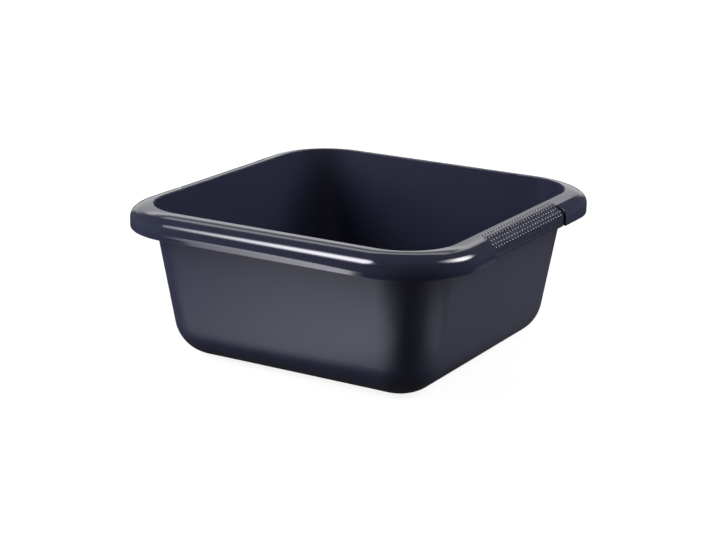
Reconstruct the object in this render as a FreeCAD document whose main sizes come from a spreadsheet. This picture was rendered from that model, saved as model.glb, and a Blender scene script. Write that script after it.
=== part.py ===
"""Square washing up bowl with two studded grip pads, in millimetres.

The bowl is one thin moulding: a drafted tub with a large bottom radius and a rolled rim with a hanging
skirt. On the two X sides a grip pad lies in a recess over the rim, and its pegs are staked below the rim.
The pad is flush with the rim at its upper edge and steps back from it down the skirt. A slot runs down the
rim at each end of it.
The origin is the middle of the base and +Z is up.
"""
import FreeCAD, Part
import os
from math import asin, atan2, cos, degrees, floor, pi, sin, sqrt
from types import SimpleNamespace

import Sketcher
from FreeCAD import Placement, Rotation, Vector

# Driving dimensions: lengths in millimetres, angles in degrees
SIZES = {
    # Whole bowl
    "side": 320.0,               # outer side of the square rim
    "height": 132.3,             # base to the crown's highest line, before the lip is rounded
    "corner_radius": 65.5,       # outer corner of the rim, seen from above
    # Rim section
    "rim_wall": 2.0,             # thickness of the rolled rim
    "crown_radius": 36.0,        # broad arc over the top of the rim
    "crown_reach": 22.0,         # outer side to the highest line of the crown
    "shoulder_radius": 8.0,      # tighter arc from the crown down to the skirt
    "skirt_depth": 19.4,         # top of the rim to the lower edge of the skirt
    "skirt_edge_round": 0.8,     # both lower edges of the skirt
    "lip_round": 1.0,            # inner edge of the rim, down into the tub
    # Tub
    "tub_inset": 18.0,           # outer side of the rim to the outer face of the wall, at the top
    "tub_wall": 2.0,             # thickness of the walls
    "tub_draft": 8.7,            # lean of the walls, in degrees
    "tub_floor": 3.0,            # thickness of the floor
    "base_round": 34.0,          # outer radius from the walls down to the floor
    "base_corner_extra": 1.0,    # by how much a corner's radius at the base passes base_round
    "foot_width": 9.0,           # flat ring that the bowl stands on
    "foot_height": 0.8,          # hollow inside that ring
    "foot_corner": 14.0,         # corner radius of the hollow
    "gate_radius": 3.5,          # mark of the moulding gate in the middle of the hollow
    "gate_height": 0.4,
    # Grip pads and their recesses in the rim
    "grip_setback": 1.8,         # face of the pad behind the skirt's outer face
    "grip_joint_tilt": 45.0,     # normal of the pad where its crown meets its shoulder, in degrees from +Z
    "grip_length": 129.6,        # along the side
    "grip_thickness": 1.4,
    "grip_top_inset": 16.7,      # outer side of the rim to the upper edge of the pad, flush with the rim
    "grip_edge_round": 0.3,      # outer edges of the pad, at its ends and its foot
    "seat_gap": 0.1,             # pad to the floor of the recess
    "edge_gap": 0.1,             # pad to the upper wall and the end walls of the recess
    "slot_width": 0.8,           # slot in the rim at each end of the pad, from the shoulder down
    "slot_top_inset": 5.0,       # outer side of the rim to the upper end of a slot
    "slot_round": 0.6,           # outer edge of the rim along a slot
    # Studs on the grip pads
    "stud_diameter": 2.8,
    "stud_height": 0.55,
    "stud_root": 0.4,            # depth to which a stud reaches into the pad
    "stud_pitch": 4.8,           # along a row
    "row_pitch": 3.85,           # from row to row, around the rim
    "stud_margin": 2.2,          # least distance from a stud's middle to the edge of the pad
    # Staked pegs below the grip pads
    "peg_inset": 11.0,           # outer side of the rim to the pegs, at the crown
    "peg_pitch": 34.0,
    "peg_radius": 2.0,
    "peg_gap": 0.1,              # around a peg in its hole
    "head_radius": 3.4,
    "head_height": 1.8,
    "head_round": 1.2,
    "head_gap": 0.4,             # head to the underside of the rim
    # Cuts reach this far past the solid that they open
    "overrun": 2.0,
}
PEG_COUNT = 4
PICK_TOLERANCE = 0.01

mm = SimpleNamespace(**SIZES)

# Expressions on the sheet that several features share
HALF_SIDE = "sizes.side / 2"
SKIRT_EDGE = "(sizes.height - sizes.skirt_depth)"
BASE_CORNER = "(sizes.base_round + sizes.base_corner_extra)"
TOP_CORNER = "(sizes.corner_radius - sizes.tub_inset)"
RECESS_TOP = "(sizes.grip_top_inset + sizes.edge_gap)"
RECESS_LENGTH = "(sizes.grip_length + 2 * sizes.edge_gap)"
SLOT_SPAN = f"({RECESS_LENGTH} + 2 * sizes.slot_width)"
RECESS_DEPTH = "(sizes.grip_thickness + sizes.seat_gap)"
RECESS_BACK = f"({RECESS_DEPTH} + sizes.rim_wall)"
SHANK_START = "(sizes.grip_thickness / 2)"
HEAD_START = f"({RECESS_BACK} + sizes.head_gap)"
HEAD_END = f"({HEAD_START} + sizes.head_height)"
SHANK_LENGTH = f"{HEAD_START} + sizes.head_height / 2 - {SHANK_START}"
DOME_RADIUS = "((sizes.stud_diameter / 2) ^ 2 + sizes.stud_height ^ 2) / (2 * sizes.stud_height)"

# The rim's shoulder: its arc's middle, and the slope of the normal where it meets the crown
CROWN_SLOPE = "((sizes.crown_reach - sizes.shoulder_radius) / (sizes.crown_radius - sizes.shoulder_radius))"
SHOULDER_RISE = f"((sizes.crown_radius - sizes.shoulder_radius) * sqrt(1 - {CROWN_SLOPE} ^ 2))"
SHOULDER_X = f"({HALF_SIDE} - sizes.shoulder_radius)"
SHOULDER_Z = f"(sizes.height - sizes.crown_radius + {SHOULDER_RISE})"


def make_sheet(doc):
    """Write the driving dimensions into the document's sheet, one named cell each."""
    sheet = doc.addObject("Spreadsheet::Sheet", "sizes")
    for row, (name, length) in enumerate(SIZES.items(), start=1):
        sheet.set(f"A{row}", name)
        sheet.set(f"B{row}", str(length))
        sheet.setAlias(f"B{row}", name)
    doc.recompute()
    return sheet


def tub_half(level):
    """Half the tub's outer width at a level above the base."""
    return f"({HALF_SIDE} - sizes.tub_inset - (sizes.height - {level}) * tan(sizes.tub_draft))"


def tub_corner(level):
    """Corner radius of the tub's outer face at a level above the base."""
    return f"({BASE_CORNER} + ({TOP_CORNER} - {BASE_CORNER}) * {level} / sizes.height)"


def origin_part(body, role):
    """One of the body's own origin planes or axes."""
    return next(item for item in body.Origin.OriginFeatures if item.Role == role)


def new_sketch(body, name, plane, place=Placement()):
    """An empty sketch on one of the body's origin planes, moved by place."""
    sketch = body.newObject("Sketcher::SketchObject", name)
    sketch.AttachmentSupport = [(origin_part(body, plane), "")]
    sketch.MapMode = "FlatFace"
    sketch.AttachmentOffset = place
    return sketch


def bind(sketch, name, expression, kind, *where):
    """Add a dimension to a sketch and tie it to the sheet."""
    index = sketch.addConstraint(Sketcher.Constraint(kind, *where, sketch.evalExpression(expression)))
    sketch.renameConstraint(index, name)
    sketch.setExpression(f"Constraints.{name}", expression)


def rounded_square(body, name, half, radius, level="0"):
    """A square with round corners about the Z axis, at a level above the base."""
    sketch = new_sketch(body, name, "XY_Plane")
    sketch.setExpression("AttachmentOffset.Base.z", level)
    reach = sketch.evalExpression(half)
    round_radius = sketch.evalExpression(radius)
    straight = reach - round_radius
    for turn in range(4):
        about = Rotation(Vector(0, 0, 1), 90 * turn)
        start, end = about * Vector(reach, -straight), about * Vector(reach, straight)
        sketch.addGeometry(Part.LineSegment(start, end))
        circle = Part.Circle(about * Vector(straight, straight), Vector(0, 0, 1), round_radius)
        sketch.addGeometry(Part.ArcOfCircle(circle, pi / 2 * turn, pi / 2 * (turn + 1)))
    lines = (0, 2, 4, 6)
    for line in lines:
        sketch.addConstraint(Sketcher.Constraint("Tangent", line, 2, line + 1, 1))
        sketch.addConstraint(Sketcher.Constraint("Tangent", line + 1, 2, (line + 2) % 8, 1))
    right, back, left, front = lines
    for line in (right, left):
        sketch.addConstraint(Sketcher.Constraint("Vertical", line))
    for line in (back, front):
        sketch.addConstraint(Sketcher.Constraint("Horizontal", line))
    for arc in (3, 5, 7):
        sketch.addConstraint(Sketcher.Constraint("Equal", 1, arc))
    bind(sketch, "corner", radius, "Radius", 1)
    bind(sketch, "right", half, "DistanceX", -1, 1, right, 1)
    bind(sketch, "left", half, "DistanceX", left, 1, -1, 1)
    bind(sketch, "back", half, "DistanceY", -1, 1, back, 1)
    bind(sketch, "front", half, "DistanceY", front, 1, -1, 1)
    return sketch


class Curve:
    """A face that follows the rim's section: skirt, shoulder arc and crown arc.

    It lies setback behind the skirt's outer face, and its crown arc meets the rim's own outer face at the
    upper edge of the grip pads. The slope is that of the normal where crown and shoulder meet. The
    attributes in capitals are expressions on the sheet, and the others are their values.
    """

    def __init__(self, holder, setback, slope):
        level = "sqrt(sizes.crown_radius ^ 2 - (sizes.crown_reach - sizes.grip_top_inset) ^ 2)"
        across = "(sizes.shoulder_radius - sizes.grip_top_inset)"
        above = f"({level} - {SHOULDER_RISE})"
        rise = f"sqrt(1 - {slope} ^ 2)"
        self.SKIRT = f"({HALF_SIDE} - {setback})"
        self.SHOULDER = f"(sizes.shoulder_radius - {setback})"
        spread = (f"(({self.SHOULDER} ^ 2 - {across} ^ 2 - {above} ^ 2)"
                  f" / (2 * ({across} * {slope} + {above} * {rise} - {self.SHOULDER})))")
        self.CROWN = f"({self.SHOULDER} + {spread})"
        self.CROWN_X = f"({SHOULDER_X} - {spread} * {slope})"
        self.CROWN_Z = f"({SHOULDER_Z} - {spread} * {rise})"
        value = holder.evalExpression
        self.skirt = value(self.SKIRT)
        self.shoulder = value(self.SHOULDER)
        self.crown = value(self.CROWN)
        self.crown_middle = Vector(value(self.CROWN_X), value(self.CROWN_Z))
        self.shoulder_middle = Vector(value(SHOULDER_X), value(SHOULDER_Z))
        self.sweep = asin(value(slope))

    @classmethod
    def rim(cls, holder):
        """The rim's own outer face."""
        return cls(holder, "0", CROWN_SLOPE)

    @classmethod
    def grip(cls, holder):
        """The face of a grip pad, without its studs."""
        return cls(holder, "sizes.grip_setback", "sin(sizes.grip_joint_tilt)")

    def depth(self, point):
        """Depth of a point below this face, on the nearer X side."""
        place = Vector(abs(point.x), point.z)
        from_shoulder = place - self.shoulder_middle
        if from_shoulder.y < 0:
            return self.skirt - place.x
        if atan2(from_shoulder.x, from_shoulder.y) > self.sweep:
            return self.shoulder - from_shoulder.Length
        return self.crown - (place - self.crown_middle).Length

    def tilt(self, x):
        """Tilt of the crown's normal from +Z towards +X, where the crown is at x."""
        return asin((x - self.crown_middle.x) / self.crown)

    def shoulder_run(self):
        """Run along the crown from its highest line to the shoulder."""
        return self.crown * self.sweep

    def skirt_run(self):
        """Run along the crown and the shoulder down to the skirt."""
        return self.shoulder_run() + self.shoulder * (pi / 2 - self.sweep)

    def station(self, run):
        """Point at a run along the face from the crown's highest line, and the normal's tilt from +Z."""
        if run < self.shoulder_run():
            tilt = run / self.crown
            return self.crown_middle + Vector(sin(tilt), cos(tilt)) * self.crown, tilt
        if run < self.skirt_run():
            tilt = self.sweep + (run - self.shoulder_run()) / self.shoulder
            return self.shoulder_middle + Vector(sin(tilt), cos(tilt)) * self.shoulder, tilt
        return Vector(self.skirt, self.shoulder_middle.y - run + self.skirt_run()), pi / 2


def rim_band(body, name, outer, inner, top_inset, bottom):
    """Section of a band between two faces, each given as a curve and a depth below it.

    It runs from top_inset, measured inwards from the outer side, over the crown and the shoulder down
    the skirt to the level bottom.
    """
    sketch = new_sketch(body, name, "XZ_Plane")
    top_x = f"{HALF_SIDE} - {top_inset}"
    end_x = sketch.evalExpression(top_x)
    level = sketch.evalExpression(bottom)
    up = Vector(0, 0, 1)
    skirts, crowns, feet, ends = [], [], [], []
    for face, (curve, below) in (("outer", outer), ("inner", inner)):
        depth = sketch.evalExpression(below)
        radius = curve.crown - depth
        across = end_x - curve.crown_middle.x
        joint, end = pi / 2 - curve.sweep, pi / 2 - asin(across / radius)
        foot = Vector(curve.skirt - depth, level)
        skirt = sketch.addGeometry(Part.LineSegment(foot, Vector(foot.x, curve.shoulder_middle.y)))
        shoulder_circle = Part.Circle(curve.shoulder_middle, up, curve.shoulder - depth)
        shoulder = sketch.addGeometry(Part.ArcOfCircle(shoulder_circle, 0, joint))
        crown = sketch.addGeometry(Part.ArcOfCircle(Part.Circle(curve.crown_middle, up, radius), joint, end))
        sketch.addConstraint(Sketcher.Constraint("Vertical", skirt))
        sketch.addConstraint(Sketcher.Constraint("Tangent", skirt, 2, shoulder, 1))
        sketch.addConstraint(Sketcher.Constraint("Tangent", shoulder, 2, crown, 1))
        bind(sketch, f"{face}_skirt", f"{curve.SKIRT} - {below}", "DistanceX", -1, 1, skirt, 1)
        bind(sketch, f"{face}_shoulder", f"{curve.SHOULDER} - {below}", "Radius", shoulder)
        bind(sketch, f"{face}_crown", f"{curve.CROWN} - {below}", "Radius", crown)
        bind(sketch, f"{face}_crown_x", curve.CROWN_X, "DistanceX", -1, 1, crown, 3)
        bind(sketch, f"{face}_crown_z", curve.CROWN_Z, "DistanceY", -1, 1, crown, 3)
        skirts.append(skirt)
        crowns.append(crown)
        feet.append(foot)
        ends.append(curve.crown_middle + Vector(cos(end), sin(end)) * radius)
    top = sketch.addGeometry(Part.LineSegment(*ends))
    base = sketch.addGeometry(Part.LineSegment(*feet))
    for side in range(2):
        sketch.addConstraint(Sketcher.Constraint("Coincident", crowns[side], 2, top, side + 1))
        sketch.addConstraint(Sketcher.Constraint("Coincident", skirts[side], 1, base, side + 1))
    sketch.addConstraint(Sketcher.Constraint("Vertical", top))
    sketch.addConstraint(Sketcher.Constraint("Horizontal", base))
    bind(sketch, "top_x", top_x, "DistanceX", -1, 1, top, 1)
    bind(sketch, "bottom_z", bottom, "DistanceY", -1, 1, base, 1)
    return sketch


def extrude(body, kind, name, sketch, length, symmetric=False, backwards=False):
    """A Pad or Pocket of a sketch, its length tied to the sheet."""
    feature = body.newObject(f"PartDesign::{kind}", name)
    feature.Profile = sketch
    feature.setExpression("Length", length)
    feature.SideType = "Symmetric" if symmetric else "One side"
    feature.Reversed = backwards
    return feature


def loft(body, kind, name, upper, lower):
    """A straight-sided loft from an upper sketch down to a lower one."""
    feature = body.newObject(f"PartDesign::{kind}", name)
    feature.Profile = upper
    feature.Sections = [lower]
    return feature


def mirror(body, feature):
    """Repeat a feature on the opposite X side."""
    copy = body.newObject("PartDesign::Mirrored", f"{feature.Name}_mirrored")
    copy.Originals = [feature]
    copy.MirrorPlane = (origin_part(body, "YZ_Plane"), [""])
    body.Tip = copy
    return copy


def fillet(body, name, radius, keep):
    """Round the edges of the body's last feature that keep accepts."""
    body.Document.recompute()
    base = body.Tip
    edges = [f"Edge{index}" for index, edge in enumerate(base.Shape.Edges, start=1) if keep(edge)]
    feature = body.newObject("PartDesign::Fillet", name)
    feature.Base = (base, edges)
    feature.setExpression("Radius", radius)
    return feature


def level_edges(level):
    """Accept the edges that lie flat at one level."""
    def keep(edge):
        box = edge.BoundBox
        return abs(box.ZMin - level) < PICK_TOLERANCE and abs(box.ZMax - level) < PICK_TOLERANCE
    return keep


def lip_edge(edge):
    """Accept the inner edge of the rim, where the crown meets the inside of the tub."""
    return edge.BoundBox.ZMin > mm.height - mm.rim_wall / 2


def end_edges(length):
    """Accept the edges that run across at either end of a stretch about the X axis."""
    def keep(edge):
        box = edge.BoundBox
        return box.YLength < PICK_TOLERANCE and abs(abs(box.Center.y) - length / 2) < PICK_TOLERANCE
    return keep


def face_edges(curve, *places):
    """Accept the edges on a curve's face that one of the places accepts."""
    def keep(edge):
        middle = edge.valueAt((edge.FirstParameter + edge.LastParameter) / 2)
        return abs(curve.depth(middle)) < PICK_TOLERANCE and any(place(edge) for place in places)
    return keep


def circle_edges(curve, depth):
    """Accept the circles whose middle lies at a depth below a curve."""
    def keep(edge):
        if not isinstance(edge.Curve, Part.Circle):
            return False
        return abs(curve.depth(edge.Curve.Center) - depth) < PICK_TOLERANCE
    return keep


def peg_circles(body, name, curve, depth, radius):
    """Circles of the staked pegs, on a plane square to a curve's crown at a depth below it."""
    tilt = curve.tilt(mm.side / 2 - mm.peg_inset)
    outwards = Vector(sin(tilt), 0, cos(tilt))
    sketch = new_sketch(body, name, "XY_Plane")
    middle = Vector(curve.crown_middle.x, 0, curve.crown_middle.y)
    foot = middle + outwards * (curve.crown - sketch.evalExpression(depth))
    sketch.AttachmentOffset = Placement(foot, Rotation(Vector(0, 1, 0), degrees(tilt)))
    for peg in range(PEG_COUNT):
        share = peg - (PEG_COUNT - 1) / 2
        place = Vector(0, share * mm.peg_pitch)
        circle = sketch.addGeometry(Part.Circle(place, Vector(0, 0, 1), sketch.evalExpression(radius)))
        sketch.addConstraint(Sketcher.Constraint("PointOnObject", circle, 3, -2))
        bind(sketch, f"radius_{peg}", radius, "Radius", circle)
        bind(sketch, f"middle_{peg}", f"{share} * sizes.peg_pitch", "DistanceY", -1, 1, circle, 3)
    return sketch


def build_core(doc):
    """The space inside the tub, as the moulding core that leaves it."""
    body = doc.addObject("PartDesign::Body", "core")
    mouth = "(sizes.height + sizes.overrun)"
    loft(body, "AdditiveLoft", "core_block",
         rounded_square(body, "core_top", f"{tub_half(mouth)} - sizes.tub_wall",
                        f"{tub_corner(mouth)} - sizes.tub_wall", mouth),
         rounded_square(body, "core_base", f"{tub_half('sizes.tub_floor')} - sizes.tub_wall",
                        f"{tub_corner('sizes.tub_floor')} - sizes.tub_wall", "sizes.tub_floor"))
    fillet(body, "core_round", "sizes.base_round - sizes.tub_wall", level_edges(mm.tub_floor))
    return body


def build_bowl(doc):
    """The moulded bowl: tub, rim with skirt, grip recesses and foot ring."""
    core = build_core(doc)
    body = doc.addObject("PartDesign::Body", "bowl")
    body.Label = "bowl"

    # Tub, solid at first, up into the thickness of the rim
    tub_level = "(sizes.height - sizes.rim_wall / 2)"
    loft(body, "AdditiveLoft", "tub",
         rounded_square(body, "tub_top", tub_half(tub_level), tub_corner(tub_level), tub_level),
         rounded_square(body, "tub_base", tub_half("0"), tub_corner("0")))
    fillet(body, "tub_base_round", "sizes.base_round", level_edges(0))

    # Rolled rim, swept around the square
    path = rounded_square(body, "rim_path", HALF_SIDE, "sizes.corner_radius")
    rim_face = Curve.rim(body)
    section = rim_band(body, "rim_section", (rim_face, "0"), (rim_face, "sizes.rim_wall"),
                       "sizes.crown_reach", SKIRT_EDGE)
    rim = body.newObject("PartDesign::AdditivePipe", "rim")
    rim.Profile = section
    rim.Spine = path
    fillet(body, "skirt_edge_rounds", "sizes.skirt_edge_round",
           level_edges(body.evalExpression(SKIRT_EDGE)))

    # Wall behind the grip recesses
    grip_face = Curve.grip(body)
    backing = rim_band(body, "backing_section", (rim_face, "sizes.rim_wall / 2"), (grip_face, RECESS_BACK),
                       f"({RECESS_TOP} + sizes.rim_wall)", f"({SKIRT_EDGE} + sizes.skirt_edge_round)")
    mirror(body, extrude(body, "Pad", "recess_backing", backing,
                         f"{SLOT_SPAN} + 2 * sizes.rim_wall", symmetric=True))

    # Hollow of the tub
    hollow = body.newObject("PartDesign::Boolean", "hollow")
    hollow.Type = "Cut"
    hollow.setObjects([core])
    fillet(body, "lip", "sizes.lip_round", lip_edge)

    # Grip recesses, the slots at their ends and the peg holes in their floors
    for name, top_inset, length in (("recess", RECESS_TOP, RECESS_LENGTH),
                                    ("slots", "sizes.slot_top_inset", SLOT_SPAN)):
        section = rim_band(body, f"{name}_section", (rim_face, "(0 - sizes.overrun)"),
                           (grip_face, RECESS_DEPTH), top_inset, f"({SKIRT_EDGE} - sizes.overrun)")
        mirror(body, extrude(body, "Pocket", name, section, length, symmetric=True))
    fillet(body, "slot_rounds", "sizes.slot_round",
           face_edges(rim_face, end_edges(body.evalExpression(SLOT_SPAN))))
    holes = peg_circles(body, "peg_hole_circles", grip_face, RECESS_DEPTH,
                        "sizes.peg_radius + sizes.peg_gap")
    mirror(body, extrude(body, "Pocket", "peg_holes", holes, "sizes.rim_wall + sizes.overrun"))

    # Foot ring around a shallow hollow, with the gate mark inside it
    foot_half = f"({tub_half('0')} - sizes.base_round * tan(45 - sizes.tub_draft / 2) - sizes.foot_width)"
    foot = rounded_square(body, "foot_hollow_outline", foot_half, "sizes.foot_corner")
    extrude(body, "Pocket", "foot_hollow", foot, "sizes.foot_height", backwards=True)
    gate = new_sketch(body, "gate_circle", "XY_Plane")
    gate.setExpression("AttachmentOffset.Base.z", "sizes.foot_height")
    gate.addGeometry(Part.Circle(Vector(0, 0), Vector(0, 0, 1), mm.gate_radius))
    gate.addConstraint(Sketcher.Constraint("Coincident", 0, 3, -1, 1))
    bind(gate, "radius", "sizes.gate_radius", "Radius", 0)
    extrude(body, "Pad", "gate_mark", gate, "sizes.gate_height", backwards=True)
    return body


def stud_profile(body, name, face, run, start):
    """Half section of one domed stud, square to the grip's face at a run around the rim."""
    foot, tilt = face.station(run)
    place = Placement(Vector(foot.x, foot.y, -start), Rotation(Vector(0, 0, 1), -degrees(tilt)))
    sketch = new_sketch(body, name, "XZ_Plane", place)
    dome_radius = sketch.evalExpression(DOME_RADIUS)
    middle = Vector(0, mm.stud_height - dome_radius)
    root_angle = asin((-mm.stud_root - middle.y) / dome_radius)
    root_radius = dome_radius * cos(root_angle)
    dome = Part.Circle(middle, Vector(0, 0, 1), dome_radius)
    cap = sketch.addGeometry(Part.ArcOfCircle(dome, root_angle, pi / 2))
    depth = Vector(0, -mm.stud_root)
    axis = sketch.addGeometry(Part.LineSegment(Vector(0, mm.stud_height), depth))
    root = sketch.addGeometry(Part.LineSegment(depth, depth + Vector(root_radius, 0)))
    for one, one_end, other, other_end in ((cap, 2, axis, 1), (axis, 2, root, 1), (root, 2, cap, 1)):
        sketch.addConstraint(Sketcher.Constraint("Coincident", one, one_end, other, other_end))
    for item, end in ((axis, 1), (axis, 2), (cap, 3)):
        sketch.addConstraint(Sketcher.Constraint("PointOnObject", item, end, -2))
    sketch.addConstraint(Sketcher.Constraint("Horizontal", root))
    bind(sketch, "dome", DOME_RADIUS, "Radius", cap)
    bind(sketch, "height", "sizes.stud_height", "DistanceY", -1, 1, axis, 1)
    bind(sketch, "root", "sizes.stud_root", "DistanceY", axis, 2, -1, 1)
    return sketch


def add_studs(body, face):
    """Rows of studs around the rim, every other row shifted by half a pitch."""
    upper = face.crown * face.tilt(mm.side / 2 - mm.grip_top_inset)
    lower = face.skirt_run() + face.shoulder_middle.y - body.evalExpression(SKIRT_EDGE)
    rows = 1 + floor((lower - upper - 2 * mm.stud_margin) / mm.row_pitch)
    columns = 1 + floor((mm.grip_length - 2 * mm.stud_margin) / mm.stud_pitch)
    first_run = (upper + lower - (rows - 1) * mm.row_pitch) / 2
    for phase in range(2):
        count = columns - 1 + phase
        start = -(count - 1) * mm.stud_pitch / 2
        studs = []
        for row in range(phase, rows, 2):
            stud = body.newObject("PartDesign::Revolution", f"stud_{row}")
            run = first_run + row * mm.row_pitch
            stud.Profile = stud_profile(body, f"stud_profile_{row}", face, run, start)
            stud.ReferenceAxis = (stud.Profile[0], ["V_Axis"])
            studs.append(stud)
        line = body.newObject("PartDesign::LinearPattern", f"stud_rows_{phase}")
        line.Originals = studs
        line.Direction = (origin_part(body, "Y_Axis"), [""])
        line.Mode = "Spacing"
        line.Occurrences = count
        line.setExpression("Offset", "sizes.stud_pitch")
        body.Tip = line


def build_grip(doc, name):
    """A studded grip pad with its staked pegs, on the +X side."""
    body = doc.addObject("PartDesign::Body", name)
    body.Label = name

    # Curved pad
    face = Curve.grip(body)
    section = rim_band(body, "grip_section", (face, "0"), (face, "sizes.grip_thickness"),
                       "sizes.grip_top_inset", SKIRT_EDGE)
    extrude(body, "Pad", "grip_pad", section, "sizes.grip_length", symmetric=True)
    fillet(body, "grip_edge_rounds", "sizes.grip_edge_round",
           face_edges(face, end_edges(mm.grip_length), level_edges(body.evalExpression(SKIRT_EDGE))))

    # Pegs through the rim, with heads spread below it
    shanks = peg_circles(body, "shank_circles", face, SHANK_START, "sizes.peg_radius")
    extrude(body, "Pad", "pegs", shanks, SHANK_LENGTH, backwards=True)
    heads = peg_circles(body, "head_circles", face, HEAD_START, "sizes.head_radius")
    extrude(body, "Pad", "heads", heads, "sizes.head_height", backwards=True)
    fillet(body, "head_rounds", "sizes.head_round", circle_edges(face, body.evalExpression(HEAD_END)))
    add_studs(body, face)
    return body


def turned_copy(doc, name, original):
    """The same piece on the opposite side, turned half way round the Z axis."""
    body = doc.addObject("PartDesign::Body", name)
    body.Label = name
    body.BaseFeature = original
    body.Placement = Placement(Vector(0, 0, 0), Rotation(Vector(0, 0, 1), 180))
    return body


def check(doc, parts):
    """Stop if an object failed, a feature changed nothing or a sub-part's shape is unsound."""
    for item in doc.Objects:
        if "Invalid" in item.State or "Error" in item.State:
            raise RuntimeError(f"{item.Name} failed: {item.State}")
        base = getattr(item, "BaseFeature", None)
        if base is None or not item.isDerivedFrom("PartDesign::Feature"):
            continue
        first = getattr(item, "Originals", None) or [item]
        cuts = first[0].TypeId in ("PartDesign::Pocket", "PartDesign::Boolean")
        adds = first[0].TypeId in ("PartDesign::Pad", "PartDesign::AdditivePipe", "PartDesign::Revolution")
        gain = item.Shape.Volume - base.Shape.Volume
        if (cuts and gain >= 0) or (adds and gain <= 0):
            raise RuntimeError(f"{item.Name} changed the volume by {gain}")
    for part in parts:
        if not part.Shape.isValid() or len(part.Shape.Solids) != 1:
            raise RuntimeError(f"{part.Label} is not one sound solid")


def main():
    doc = FreeCAD.newDocument("washing_up_bowl")
    make_sheet(doc)
    bowl = build_bowl(doc)
    grip = build_grip(doc, "grip_right")
    parts = [bowl, grip, turned_copy(doc, "grip_left", grip)]
    doc.recompute()
    check(doc, parts)
    os.makedirs("parts", exist_ok=True)
    for part in parts:
        part.Shape.exportStep(os.path.join("parts", f"{part.Label}.step"))
        print(part.Label, len(part.Shape.Solids), round(part.Shape.Volume), part.Shape.BoundBox)


main()
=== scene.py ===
"""Looks of a square washing up bowl of dark moulded plastic, standing on a white studio floor."""
from math import cos, pi, radians, sin

import bpy
from mathutils import Matrix, Vector


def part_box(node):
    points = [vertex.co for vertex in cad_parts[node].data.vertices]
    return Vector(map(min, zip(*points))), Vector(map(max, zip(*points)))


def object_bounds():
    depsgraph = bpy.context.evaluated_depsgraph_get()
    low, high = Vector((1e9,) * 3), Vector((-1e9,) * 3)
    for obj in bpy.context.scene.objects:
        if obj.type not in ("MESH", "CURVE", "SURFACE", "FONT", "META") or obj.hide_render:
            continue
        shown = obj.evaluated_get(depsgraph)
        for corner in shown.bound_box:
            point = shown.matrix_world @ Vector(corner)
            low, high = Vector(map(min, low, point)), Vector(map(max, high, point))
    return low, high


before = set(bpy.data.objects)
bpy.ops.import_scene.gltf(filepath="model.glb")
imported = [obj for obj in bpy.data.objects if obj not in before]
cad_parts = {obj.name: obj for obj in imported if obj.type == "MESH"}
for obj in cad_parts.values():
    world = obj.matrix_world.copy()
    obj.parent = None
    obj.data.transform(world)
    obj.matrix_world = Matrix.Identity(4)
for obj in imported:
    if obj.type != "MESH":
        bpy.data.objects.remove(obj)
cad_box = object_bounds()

MM = 0.001

# The photograph's frame
IMAGE_WIDTH = 716
SENSOR_WIDTH = 36.0
FOCAL_PIXELS = 1843.66

# Sizes of the bowl that its finishes follow, in metres
SIDE = cad_box[1][0] - cad_box[0][0]
CORNER_RADIUS = 65.5 * MM
RIM_WIDTH = 19.6 * MM
LIP_START = cad_box[1][2] - 1.18 * MM
SKIRT_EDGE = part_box("grip_right")[0][2]
EDGE_MARGIN = 1 * MM
SWELL_TOP = SKIRT_EDGE + 11.1 * MM
SWELL_FOOT = SKIRT_EDGE + 3.6 * MM
SWELL = 0.98 * MM

# The pad's section in X and Z: skirt, shoulder arc and crown arc
PAD_SKIRT = 158.2 * MM
PAD_SHOULDER = (152 * MM, 120.55 * MM)
PAD_SHOULDER_RADIUS = 6.2 * MM
PAD_CROWN = (138.39 * MM, 106.94 * MM)
PAD_CROWN_RADIUS = 25.446 * MM
STUD_HEIGHT = 0.55 * MM

# Colours of the dyed plastic, the pad's ground with painted shade between its studs, the tint of its gloss
# and its index of refraction
DYE_DARK = "#242637"
DYE_LIGHT = "#282a3b"
PAD_GROUND_SHADED = "#232535"
GLOSS_TINT = "#faf7ff"
PLASTIC_IOR = 1.5

# Roughness of the bowl's finishes, least and most, and of a pad's ground and studs
SATIN = (0.31, 0.37)
SMOOTH = (0.26, 0.32)
POLISH = (0.06, 0.09)
DULL = 0.55
PAD_ROUGHNESS = (0.17, 0.10)

# Patterns of the plastic: widths and depths in metres, and strengths
DYE_CLOUD = 25 * MM
WALL_GRAIN = 0.8 * MM
PAD_GRAIN = 0.6 * MM
GRAIN_DEPTH = 0.1 * MM
GRAIN_STRENGTH = 0.12
WAVE_LENGTH = 60 * MM
WAVE_DEPTH = 1 * MM
WAVE_STRENGTH = 0.1

# Levels of light, where 1 is white
DIM_FLOOR = 0.05
DIM_ROOM = 0.15
ROOM_FILL = 0.18


def linear(hex_colour):
    """An sRGB hex colour as linear RGBA."""
    channels = [int(hex_colour[i:i + 2], 16) / 255 for i in (1, 3, 5)]
    return [c / 12.92 if c <= 0.04045 else ((c + 0.055) / 1.055) ** 2.4 for c in channels] + [1.0]


def add_node(tree, kind, settings=None, inputs=None):
    """Add a node, set its properties, and fill its inputs with values or links."""
    node = tree.nodes.new(kind)
    for name, value in (settings or {}).items():
        setattr(node, name, value)
    for name, value in (inputs or {}).items():
        if isinstance(value, bpy.types.NodeSocket):
            tree.links.new(value, node.inputs[name])
        else:
            node.inputs[name].default_value = value
    return node


def new_material(name):
    """An empty node material with its output."""
    material = bpy.data.materials.new(name)
    material.use_nodes = True
    tree = material.node_tree
    tree.nodes.clear()
    return material, tree, add_node(tree, "ShaderNodeOutputMaterial")


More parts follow.
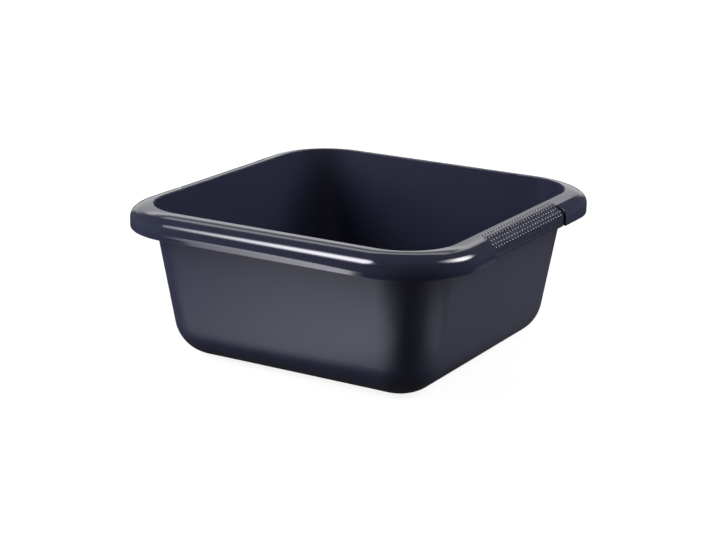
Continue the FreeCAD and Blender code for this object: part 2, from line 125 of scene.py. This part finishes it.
def moulded_polypropylene():
    """Polypropylene, injection moulded and dyed through in a dark blue grey.

    The mould is spark eroded outside, which gives the walls a satin sheen with a fine grain, and smoother
    inside. Its rim is polished, so the rim mirrors the lights, with the slight waves of a moulding that
    has shrunk as it cooled.
    """
    material, tree, output = new_material("moulded_polypropylene_anthracite")
    place = add_node(tree, "ShaderNodeTexCoord").outputs["Object"]

    # The rim: within its width of the outline and above the skirt's edge, or above the start of the lip
    corner = SIDE / 2 - CORNER_RADIUS
    folded = add_node(tree, "ShaderNodeVectorMath", {"operation": "ABSOLUTE"}, {0: place}).outputs[0]
    beyond = add_node(tree, "ShaderNodeVectorMath", {"operation": "SUBTRACT"},
                      {0: folded, 1: (corner, corner, 1)}).outputs[0]
    clipped = add_node(tree, "ShaderNodeVectorMath", {"operation": "MAXIMUM"},
                       {0: beyond, 1: (0, 0, 0)}).outputs[0]
    reach = add_node(tree, "ShaderNodeVectorMath", {"operation": "LENGTH"}, {0: clipped}).outputs["Value"]
    level = add_node(tree, "ShaderNodeSeparateXYZ", inputs={0: place}).outputs["Z"]
    outer = add_node(tree, "ShaderNodeMath", {"operation": "GREATER_THAN"},
                     {0: reach, 1: CORNER_RADIUS - RIM_WIDTH}).outputs[0]
    high = add_node(tree, "ShaderNodeMath", {"operation": "GREATER_THAN"},
                    {0: level, 1: SKIRT_EDGE - EDGE_MARGIN}).outputs[0]
    lip = add_node(tree, "ShaderNodeMath", {"operation": "GREATER_THAN"},
                   {0: level, 1: LIP_START}).outputs[0]
    skirt = add_node(tree, "ShaderNodeMath", {"operation": "MULTIPLY"}, {0: outer, 1: high}).outputs[0]
    rim = add_node(tree, "ShaderNodeMath", {"operation": "MAXIMUM"}, {0: skirt, 1: lip}).outputs[0]

    # The inside: faces turned to the middle axis or up
    normal = add_node(tree, "ShaderNodeNewGeometry").outputs["Normal"]
    outwards = add_node(tree, "ShaderNodeVectorMath", {"operation": "MULTIPLY"},
                        {0: place, 1: (1, 1, 0)}).outputs[0]
    facing = add_node(tree, "ShaderNodeVectorMath", {"operation": "DOT_PRODUCT"},
                      {0: normal, 1: outwards}).outputs["Value"]
    inwards = add_node(tree, "ShaderNodeMath", {"operation": "LESS_THAN"}, {0: facing, 1: 0}).outputs[0]
    upright = add_node(tree, "ShaderNodeSeparateXYZ", inputs={0: normal}).outputs["Z"]
    upwards = add_node(tree, "ShaderNodeMath", {"operation": "GREATER_THAN"},
                       {0: upright, 1: 0.5}).outputs[0]
    inside = add_node(tree, "ShaderNodeMath", {"operation": "MAXIMUM"},
                      {0: inwards, 1: upwards}).outputs[0]

    # Dye that is not stirred in quite evenly, in clouds
    clouds = add_node(tree, "ShaderNodeTexNoise", inputs={
        "Vector": place, "Scale": 1 / DYE_CLOUD, "Detail": 3}).outputs[0]
    colour = add_node(tree, "ShaderNodeMix", {"data_type": "RGBA"}, {
        0: clouds, 6: linear(DYE_DARK), 7: linear(DYE_LIGHT)}).outputs[2]

    # Satin walls, a smoother inside and a polished rim, each a little uneven
    satin, smooth, polish = (
        add_node(tree, "ShaderNodeMapRange", inputs={0: clouds, 3: least, 4: most}).outputs[0]
        for least, most in (SATIN, SMOOTH, POLISH))
    walls = add_node(tree, "ShaderNodeMix", inputs={0: inside, 2: satin, 3: smooth}).outputs[0]
    moulded = add_node(tree, "ShaderNodeMix", inputs={0: rim, 2: walls, 3: polish}).outputs[0]

    # The inner edge of the rim is dull: the photograph shows no glint along the back one
    edge = add_node(tree, "ShaderNodeMath", {"operation": "MULTIPLY"}, {0: lip, 1: inwards}).outputs[0]
    roughness = add_node(tree, "ShaderNodeMix", inputs={0: edge, 2: moulded, 3: DULL}).outputs[0]

    # Spark eroded grain: 0.15 mm on the real wall, drawn coarser so that it shows
    grain = add_node(tree, "ShaderNodeTexNoise", inputs={
        "Vector": place, "Scale": 1 / WALL_GRAIN, "Detail": 2}).outputs[0]
    depth = add_node(tree, "ShaderNodeMapRange", inputs={0: rim, 3: GRAIN_STRENGTH, 4: 0.0}).outputs[0]
    grained = add_node(tree, "ShaderNodeBump", inputs={
        "Height": grain, "Strength": depth, "Distance": GRAIN_DEPTH}).outputs[0]

    # Shrinkage waves
    waves = add_node(tree, "ShaderNodeTexNoise", inputs={
        "Vector": place, "Scale": 1 / WAVE_LENGTH, "Detail": 1}).outputs[0]
    waved = add_node(tree, "ShaderNodeBump", inputs={
        "Height": waves, "Strength": WAVE_STRENGTH, "Distance": WAVE_DEPTH, "Normal": grained}).outputs[0]

    # The skirt swells a little from the shoulder down
    lower = add_node(tree, "ShaderNodeMapRange", {"interpolation_type": "SMOOTHSTEP"}, {
        0: level, 1: SWELL_TOP, 2: SWELL_FOOT}).outputs[0]
    swelled = add_node(tree, "ShaderNodeBump", inputs={
        "Height": lower, "Strength": rim, "Distance": SWELL, "Normal": waved}).outputs[0]

    shader = add_node(tree, "ShaderNodeBsdfPrincipled", inputs={
        "Base Color": colour, "Roughness": roughness, "Normal": swelled, "IOR": PLASTIC_IOR,
        "Specular Tint": linear(GLOSS_TINT)})
    tree.links.new(shader.outputs[0], output.inputs["Surface"])
    return material


def moulded_grip():
    """Grip pad of the same polypropylene, moulded with rows of studs.

    The domes of the studs are smooth and glint, and the ground between them is duller and grained,
    and painted a little darker than the domes as painted shade between the studs.
    """
    material, tree, output = new_material("moulded_polypropylene_studded")
    place = add_node(tree, "ShaderNodeTexCoord").outputs["Object"]

    # Height over the pad's ground: outside the skirt, the shoulder arc or the crown arc
    folded = add_node(tree, "ShaderNodeVectorMath", {"operation": "ABSOLUTE"}, {0: place}).outputs[0]
    section = add_node(tree, "ShaderNodeVectorMath", {"operation": "MULTIPLY"},
                       {0: folded, 1: (1, 0, 1)}).outputs[0]
    axes = add_node(tree, "ShaderNodeSeparateXYZ", inputs={0: section}).outputs
    above = []
    for middle, radius in ((PAD_SHOULDER, PAD_SHOULDER_RADIUS), (PAD_CROWN, PAD_CROWN_RADIUS)):
        span = add_node(tree, "ShaderNodeVectorMath", {"operation": "DISTANCE"},
                        {0: section, 1: (middle[0], 0, middle[1])}).outputs["Value"]
        above.append(add_node(tree, "ShaderNodeMath", {"operation": "SUBTRACT"},
                              {0: span, 1: radius}).outputs[0])
    above_skirt = add_node(tree, "ShaderNodeMath", {"operation": "SUBTRACT"},
                           {0: axes["X"], 1: PAD_SKIRT}).outputs[0]
    lean = add_node(tree, "ShaderNodeMath", {"operation": "SUBTRACT"},
                    {0: axes["Z"], 1: axes["X"]}).outputs[0]
    on_crown = add_node(tree, "ShaderNodeMath", {"operation": "GREATER_THAN"},
                        {0: lean, 1: PAD_SHOULDER[1] - PAD_SHOULDER[0]}).outputs[0]
    on_skirt = add_node(tree, "ShaderNodeMath", {"operation": "LESS_THAN"},
                        {0: axes["Z"], 1: PAD_SHOULDER[1]}).outputs[0]
    arcs = add_node(tree, "ShaderNodeMix", inputs={0: on_crown, 2: above[0], 3: above[1]}).outputs[0]
    height = add_node(tree, "ShaderNodeMix", inputs={0: on_skirt, 2: arcs, 3: above_skirt}).outputs[0]

    # A stud begins and ends its change of finish a fifth of its height from its foot and its top
    dome = add_node(tree, "ShaderNodeMapRange", inputs={
        0: height, 1: 0.2 * STUD_HEIGHT, 2: 0.8 * STUD_HEIGHT}).outputs[0]
    # Painted shade: the ground between the studs is coloured darker than the domes' tops
    colour = add_node(tree, "ShaderNodeMix", {"data_type": "RGBA"}, {
        0: dome, 6: linear(PAD_GROUND_SHADED), 7: linear(DYE_LIGHT)}).outputs[2]
    ground_roughness, stud_roughness = PAD_ROUGHNESS
    roughness = add_node(tree, "ShaderNodeMapRange", inputs={
        0: dome, 3: ground_roughness, 4: stud_roughness}).outputs[0]

    # Spark eroded grain on the ground: 0.15 mm on the real pad, drawn coarser so that it shows
    grain = add_node(tree, "ShaderNodeTexNoise", inputs={
        "Vector": place, "Scale": 1 / PAD_GRAIN, "Detail": 2}).outputs[0]
    depth = add_node(tree, "ShaderNodeMapRange", inputs={0: dome, 3: GRAIN_STRENGTH, 4: 0.0}).outputs[0]
    normal = add_node(tree, "ShaderNodeBump", inputs={
        "Height": grain, "Strength": depth, "Distance": GRAIN_DEPTH}).outputs[0]
    shader = add_node(tree, "ShaderNodeBsdfPrincipled", inputs={
        "Base Color": colour, "Roughness": roughness, "Normal": normal, "IOR": PLASTIC_IOR,
        "Specular Tint": linear(GLOSS_TINT)})
    tree.links.new(shader.outputs[0], output.inputs["Surface"])
    return material


def direction(azimuth, elevation):
    """Unit vector towards an azimuth, counted from -Y towards +X, and an elevation, in degrees."""
    turn, rise = radians(azimuth), radians(elevation)
    return Vector((sin(turn) * cos(rise), -cos(turn) * cos(rise), sin(rise)))


def add_camera():
    """Camera at the viewing angle of the photograph."""
    azimuth, elevation, roll = 30.557, 16.416, radians(0.764)
    distance, side_shift, target_height = 1.5931, -3.645 * MM, 64.73 * MM
    back = direction(azimuth, elevation)
    level = direction(azimuth + 90, 0)
    upright = back.cross(level)
    right = level * cos(roll) + upright * sin(roll)
    up = upright * cos(roll) - level * sin(roll)
    data = bpy.data.cameras.new("camera")
    data.sensor_fit = "HORIZONTAL"
    data.sensor_width = SENSOR_WIDTH
    data.lens = FOCAL_PIXELS * SENSOR_WIDTH / IMAGE_WIDTH
    camera = bpy.data.objects.new("camera", data)
    turn = Matrix((right, up, back)).transposed().to_4x4()
    target = level * side_shift + Vector((0, 0, target_height))
    camera.matrix_world = Matrix.Translation(target + back * distance) @ turn
    bpy.context.scene.collection.objects.link(camera)
    bpy.context.scene.camera = camera


def add_lamp(name, place, facing, width, height, radiance):
    """A soft lamp for the plastic's own colour; its gloss comes from the panels of the floor and the room."""
    data = bpy.data.lights.new(name, "AREA")
    data.shape = "RECTANGLE"
    data.size = width
    data.size_y = height
    data.energy = radiance * pi * width * height
    lamp = bpy.data.objects.new(name, data)
    turn = (-facing).to_track_quat("Z", "Y").to_matrix().to_4x4()
    lamp.matrix_world = Matrix.Translation(place) @ turn
    lamp.visible_camera = False
    lamp.visible_glossy = False
    bpy.context.scene.collection.objects.link(lamp)


def add_softbox(name, azimuth, elevation, radiance):
    """A square softbox that faces the bowl from a direction."""
    side, distance, aim = 0.9, 1.6, Vector((0, 0, 0.1))
    towards = direction(azimuth, elevation)
    add_lamp(name, aim + towards * distance, -towards, side, side, radiance)


def add_card(name, place, facing, radiance):
    """A low card beside the bowl that lights the foot of a wall."""
    width, height = 0.5, 0.12
    add_lamp(name, Vector(place), Vector(facing), width, height, radiance)


def add_panel(tree, place, ground, middle, reach, softness, brightness, turn=(0, 0, 0)):
    """The brighter of a ground and an oval panel with a soft edge."""
    scaled = add_node(tree, "ShaderNodeMapping", {"vector_type": "TEXTURE"}, {
        "Vector": place, "Location": middle, "Rotation": turn, "Scale": reach}).outputs[0]
    span = add_node(tree, "ShaderNodeVectorMath", {"operation": "LENGTH"}, {0: scaled}).outputs["Value"]
    panel = add_node(tree, "ShaderNodeMapRange", {"interpolation_type": "SMOOTHSTEP"}, {
        0: span, 1: 1 + softness, 2: 1 - softness, 4: brightness}).outputs[0]
    return add_node(tree, "ShaderNodeMath", {"operation": "MAXIMUM"}, {0: ground, 1: panel}).outputs[0]


def mirrored_rays(tree, path):
    """One for rays that come off or through a glossy surface, and nought for the rest."""
    return add_node(tree, "ShaderNodeMath", {"operation": "MAXIMUM"},
                    {0: path["Is Glossy Ray"], 1: path["Is Transmission Ray"]}).outputs[0]


def add_floor():
    """White floor that keeps a faint soft shadow.

    In the gloss of the bowl it is dim, with painted reflections that glow for gloss alone: a lit sheet along
    the front, two patches to the right and a beam of light that runs away from the bowl to the front left.
    """
    bpy.ops.object.select_all(action="DESELECT")
    bpy.ops.mesh.primitive_circle_add(vertices=96, radius=9, fill_type="NGON", location=(0, 0, 0))
    floor = bpy.context.object
    floor.name = "floor"
    material, tree, output = new_material("white_studio_floor")
    path = add_node(tree, "ShaderNodeLightPath").outputs
    place = add_node(tree, "ShaderNodeTexCoord").outputs["Object"]
    axes = add_node(tree, "ShaderNodeSeparateXYZ", inputs={0: place}).outputs

    # The sheet, brighter to the right, and the patches: a faint wide one and a small one nearer the front
    sheet = add_node(tree, "ShaderNodeMapRange", inputs={
        0: axes["X"], 1: -0.25, 2: 0.04, 3: 0.35, 4: 2.25}).outputs[0]
    gleam = add_panel(tree, place, DIM_FLOOR, middle=(-0.11, -0.222, 0), reach=(0.228, 0.076, 1),
                      softness=0.22, brightness=sheet, turn=(0, 0, radians(3)))
    gleam = add_panel(tree, place, gleam, middle=(0.27, 0.10, 0), reach=(0.15, 0.30, 1),
                      softness=0.3, brightness=0.22)
    gleam = add_panel(tree, place, gleam, middle=(0.23, -0.065, 0), reach=(0.05, 0.06, 1),
                      softness=0.5, brightness=0.85)

    # The beam: across it by the slope from its source, along it by the inverse of the distance ahead
    source, start, half_length = (0.774, 0.998, 0), -0.16, 0.28
    from_source = add_node(tree, "ShaderNodeVectorMath", {"operation": "SUBTRACT"},
                           {0: place, 1: source}).outputs[0]
    offset = add_node(tree, "ShaderNodeSeparateXYZ", inputs={0: from_source}).outputs
    slope = add_node(tree, "ShaderNodeMath", {"operation": "DIVIDE"},
                     {0: offset["X"], 1: offset["Y"]}).outputs[0]
    ahead = add_node(tree, "ShaderNodeMath", {"operation": "SUBTRACT"}, {0: start, 1: axes["Y"]}).outputs[0]
    near = add_node(tree, "ShaderNodeMath", {"operation": "DIVIDE"}, {0: half_length, 1: ahead}).outputs[0]
    spread = add_node(tree, "ShaderNodeCombineXYZ", inputs={0: slope, 1: near}).outputs[0]
    beam = add_node(tree, "ShaderNodeMapRange", inputs={
        0: slope, 1: 0.74, 2: 0.60, 3: 2.0, 4: 7.5}).outputs[0]
    gleam = add_panel(tree, spread, gleam, middle=(0.662, 0.6, 0), reach=(0.073, 0.6, 1),
                      softness=0.05, brightness=beam)

    # White for the camera, with the shadow faded out away from the bowl, and dim for the plastic
    # Painted reflection: glow that only the bowl's gloss sees, for the sheen of its walls and the highlight
    # on its skirt
    mirrored = add_node(tree, "ShaderNodeEmission", inputs={"Strength": gleam}).outputs[0]
    bounce = add_node(tree, "ShaderNodeBsdfDiffuse", inputs={"Color": (0.15, 0.15, 0.15, 1)}).outputs[0]
    shade = add_node(tree, "ShaderNodeBsdfDiffuse", inputs={"Color": (0.2, 0.2, 0.2, 1)}).outputs[0]
    away = add_node(tree, "ShaderNodeVectorMath", {"operation": "LENGTH"}, {0: place}).outputs["Value"]
    fading = add_node(tree, "ShaderNodeMapRange", inputs={
        0: away, 1: 0.3, 2: 0.9, 3: 0.86, 4: 1.0}).outputs[0]
    glow = add_node(tree, "ShaderNodeEmission", inputs={"Strength": fading}).outputs[0]
    white = add_node(tree, "ShaderNodeAddShader", inputs={0: shade, 1: glow}).outputs[0]
    unseen = add_node(tree, "ShaderNodeMixShader", inputs={
        0: mirrored_rays(tree, path), 1: bounce, 2: mirrored}).outputs[0]
    mixed = add_node(tree, "ShaderNodeMixShader", inputs={
        0: path["Is Camera Ray"], 1: unseen, 2: white}).outputs[0]
    tree.links.new(mixed, output.inputs["Surface"])
    floor.data.materials.append(material)


def add_world():
    """White surroundings for the camera, and for the gloss a dim room with a backdrop and two softboxes."""
    world = bpy.data.worlds.new("studio")
    bpy.context.scene.world = world
    world.use_nodes = True
    tree = world.node_tree
    tree.nodes.clear()
    path = add_node(tree, "ShaderNodeLightPath").outputs
    towards = add_node(tree, "ShaderNodeTexCoord").outputs["Generated"]

    # The backdrop's width, with soft sides
    backdrop_azimuth, outer_half, inner_half = 213, 25, 20
    level = add_node(tree, "ShaderNodeVectorMath", {"operation": "MULTIPLY"},
                     {0: towards, 1: (1, 1, 0)}).outputs[0]
    heading = add_node(tree, "ShaderNodeVectorMath", {"operation": "NORMALIZE"}, {0: level}).outputs[0]
    turn = add_node(tree, "ShaderNodeVectorMath", {"operation": "DOT_PRODUCT"},
                    {0: heading, 1: direction(backdrop_azimuth, 0)}).outputs["Value"]
    wide = add_node(tree, "ShaderNodeMapRange", inputs={
        0: turn, 1: cos(radians(outer_half)), 2: cos(radians(inner_half))}).outputs[0]

    # Its height, in degrees of elevation: grey, a bright band, a dimmer one and a bright upper edge
    rise = add_node(tree, "ShaderNodeSeparateXYZ", inputs={0: towards}).outputs["Z"]
    ramp = add_node(tree, "ShaderNodeValToRGB", inputs={0: rise})
    stops = ramp.color_ramp.elements
    for elevation, brightness in ((16, 1.3), (24, 1.6), (29, 3.2), (32, 3.2), (35.5, 0.6), (39.5, 0.6),
                                  (41.5, 2.8), (45, 2.8), (47, DIM_ROOM)):
        stop = stops.new(sin(radians(elevation)))
        stop.color = (brightness, brightness, brightness, 1)
    stops[0].color = stops[1].color
    stops[-1].color = stops[-2].color
    room = add_node(tree, "ShaderNodeMix", inputs={0: wide, 2: DIM_ROOM, 3: ramp.outputs[0]}).outputs[0]

    # The backdrop's lit side edge, and the softboxes: a tall one to the front left, a broad one at the back
    edge_azimuth, back_azimuth = 190.5, 141
    room = add_panel(tree, towards, room, middle=direction(edge_azimuth, 32), reach=(0.025, 1, 0.17),
                     softness=0.4, brightness=2.4, turn=(0, 0, radians(edge_azimuth)))
    room = add_panel(tree, towards, room, middle=(-0.46, -0.43, 0.777), reach=(0.10, 1, 0.33),
                     softness=0.5, brightness=27, turn=(radians(-61), 0, 0))
    room = add_panel(tree, towards, room, middle=direction(back_azimuth, 42), reach=(0.22, 1, 0.145),
                     softness=0.95, brightness=28, turn=(0, 0, radians(back_azimuth)))

    unseen = add_node(tree, "ShaderNodeMix", inputs={
        0: mirrored_rays(tree, path), 2: ROOM_FILL, 3: room}).outputs[0]
    strength = add_node(tree, "ShaderNodeMix", inputs={
        0: path["Is Camera Ray"], 2: unseen, 3: 1.0}).outputs[0]
    sky = add_node(tree, "ShaderNodeBackground", inputs={"Strength": strength}).outputs[0]
    output = add_node(tree, "ShaderNodeOutputWorld")
    tree.links.new(sky, output.inputs["Surface"])


def dress(node, material):
    """Give a CAD node its finish."""
    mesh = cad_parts[node].data
    mesh.materials.clear()
    mesh.materials.append(material)


dress("bowl", moulded_polypropylene())
grip_finish = moulded_grip()
for grip in ("grip_right", "grip_left"):
    dress(grip, grip_finish)
add_camera()
add_floor()
add_world()
add_softbox("key", azimuth=-52, elevation=24, radiance=14)
add_softbox("back_light", azimuth=122, elevation=28, radiance=10.6)
add_card("front_card", place=(-0.30, -0.50, 0.065), facing=(0.63, 0.777, 0), radiance=4)
add_card("right_card", place=(0.50, 0.30, 0.065), facing=(-0.777, -0.63, 0), radiance=3)
bpy.context.scene.view_settings.view_transform = "Standard"
